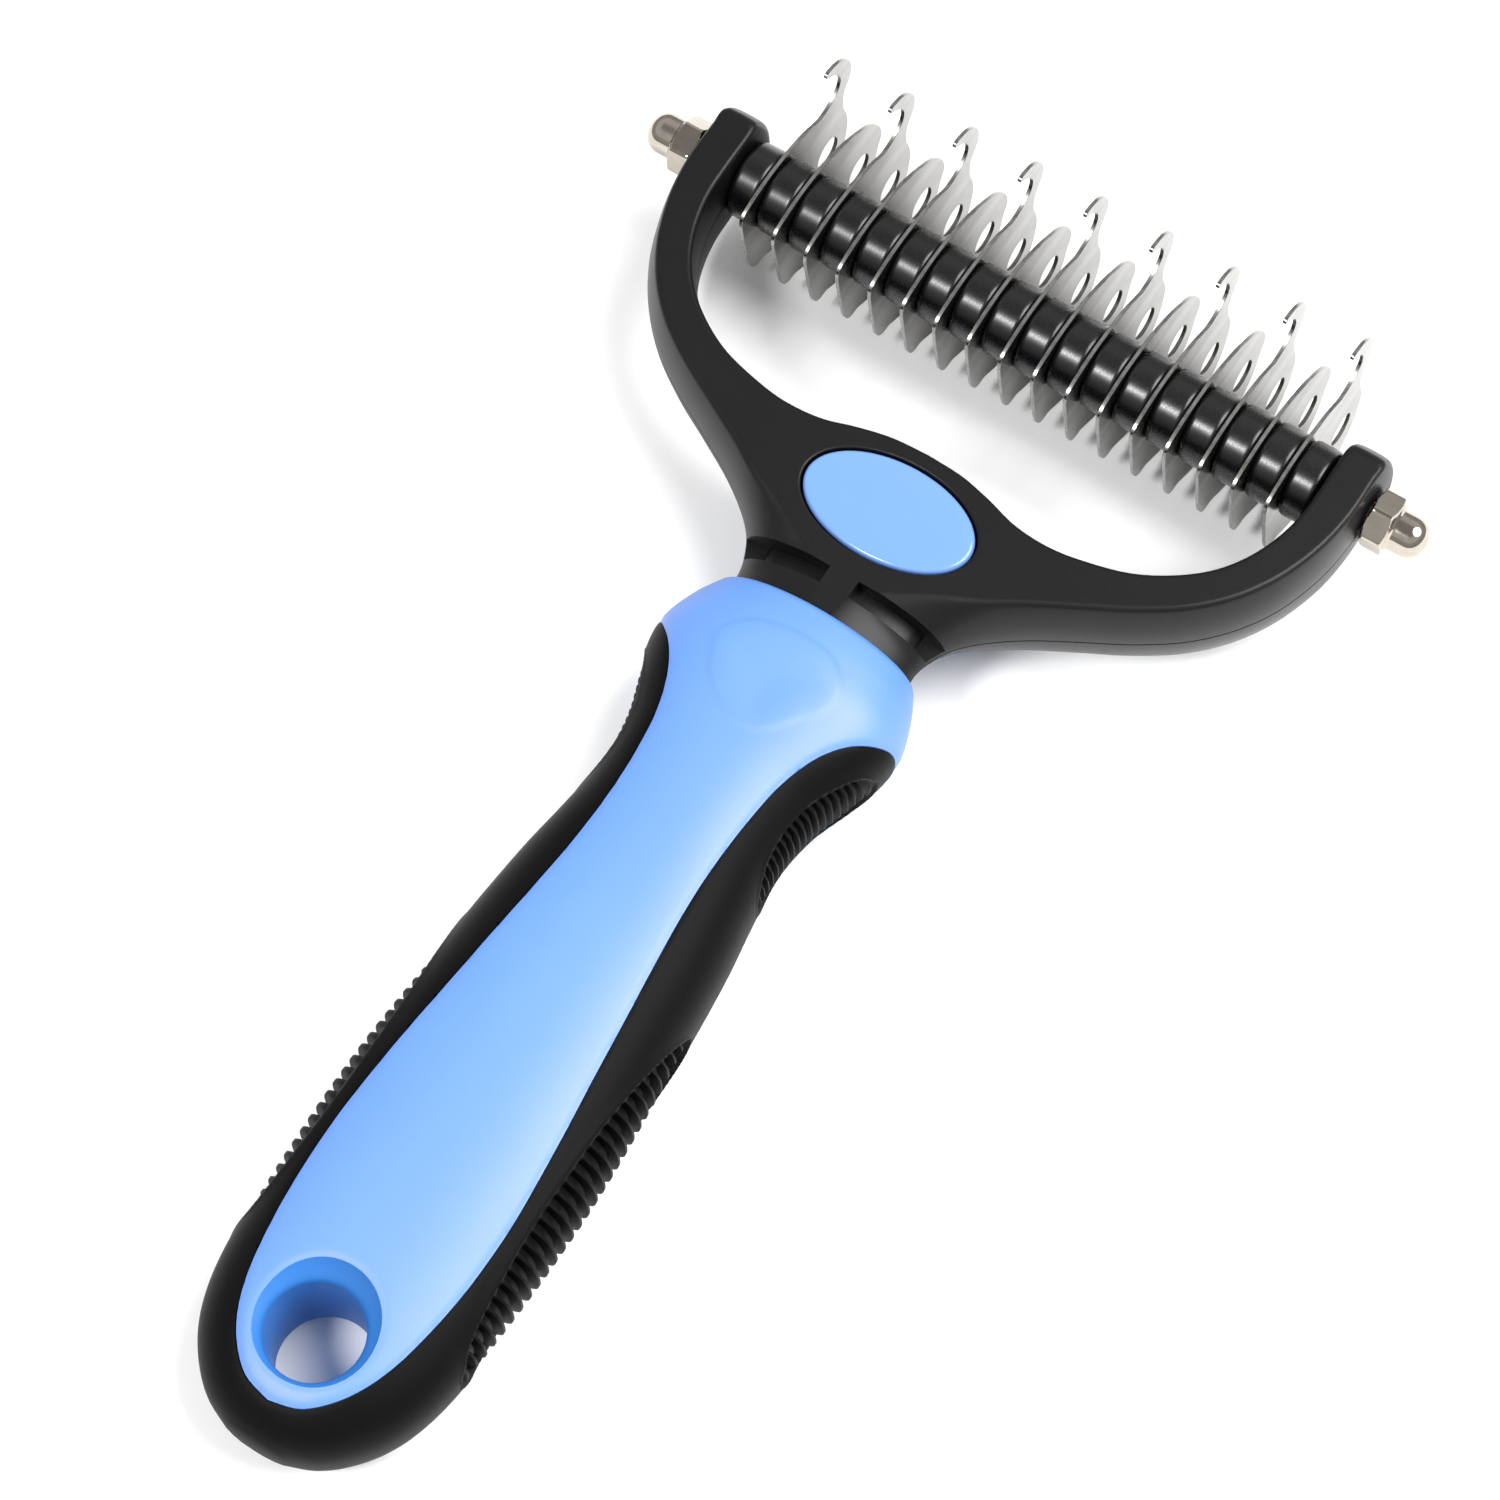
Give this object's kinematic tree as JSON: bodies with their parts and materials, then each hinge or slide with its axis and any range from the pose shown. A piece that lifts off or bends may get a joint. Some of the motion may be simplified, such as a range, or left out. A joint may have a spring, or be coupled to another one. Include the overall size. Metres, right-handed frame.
{
  "type": "dematting comb",
  "caption": "Pet dematting comb: a two-material handle with a hanging hole carries a forked head with a rod of alternating hooked and rounded steel blades.",
  "frame": {"origin": "centre of the bottom of the bounding box, straight below the middle of the comb", "axes": "+X along the blade rod, to the right with the blades away from the holder; +Y from the handle towards the blades, along the comb's length; +Z out of the front face, the side the long hooks point to"},
  "size_m": [0.1122, 0.1858, 0.0261],
  "materials": {
    "blade_steel": "satin, stamped and deburred",
    "rod_steel": "zinc-plated thread",
    "nut_nickel": "bright nickel plating",
    "fork_black": "fine spark texture",
    "spacer_black": "gloss",
    "grip_rubber": "matt",
    "handle_blue": "satin",
    "badge_blue": "gloss"
  },
  "bodies": {
    "handle": {"fork": "fork_black", "handle_core": "handle_blue", "grip_overmould": "grip_rubber", "badge_front": "badge_blue", "badge_back": "badge_blue"},
    "blade_pack": {"threaded_rod": "rod_steel", "blade_long_1": "blade_steel", "blade_long_2": "blade_steel", "blade_long_3": "blade_steel", "blade_long_4": "blade_steel", "blade_long_5": "blade_steel", "blade_long_6": "blade_steel", "blade_long_7": "blade_steel", "blade_long_8": "blade_steel", "blade_long_9": "blade_steel", "blade_short_1": "blade_steel", "blade_short_2": "blade_steel", "blade_short_3": "blade_steel", "blade_short_4": "blade_steel", "blade_short_5": "blade_steel", "blade_short_6": "blade_steel", "blade_short_7": "blade_steel", "blade_short_8": "blade_steel", "spacer_1": "spacer_black", "spacer_2": "spacer_black", "spacer_3": "spacer_black", "spacer_4": "spacer_black", "spacer_5": "spacer_black", "spacer_6": "spacer_black", "spacer_7": "spacer_black", "spacer_8": "spacer_black", "spacer_9": "spacer_black", "spacer_10": "spacer_black", "spacer_11": "spacer_black", "spacer_12": "spacer_black", "spacer_13": "spacer_black", "spacer_14": "spacer_black", "spacer_15": "spacer_black", "spacer_16": "spacer_black", "end_spacer_left": "spacer_black", "end_spacer_right": "spacer_black"},
    "cap_nut_left": {"cap_nut_left": "nut_nickel"},
    "cap_nut_right": {"cap_nut_right": "nut_nickel"}
  },
  "joints": [
    {"name": "blade_pack_turn", "type": "hinge", "parent": "handle", "child": "blade_pack", "pos_m": [0, 0.0751, 0.0154], "axis": [1, 0, 0], "range_deg": [-90, 90]},
    {"name": "cap_nut_left_turn", "type": "hinge", "parent": "blade_pack", "child": "cap_nut_left", "pos_m": [-0.0516, 0.0751, 0.0154], "axis": [1, 0, 0], "continuous": true},
    {"name": "cap_nut_right_turn", "type": "hinge", "parent": "blade_pack", "child": "cap_nut_right", "pos_m": [0.0516, 0.0751, 0.0154], "axis": [1, 0, 0], "continuous": true}
  ]
}
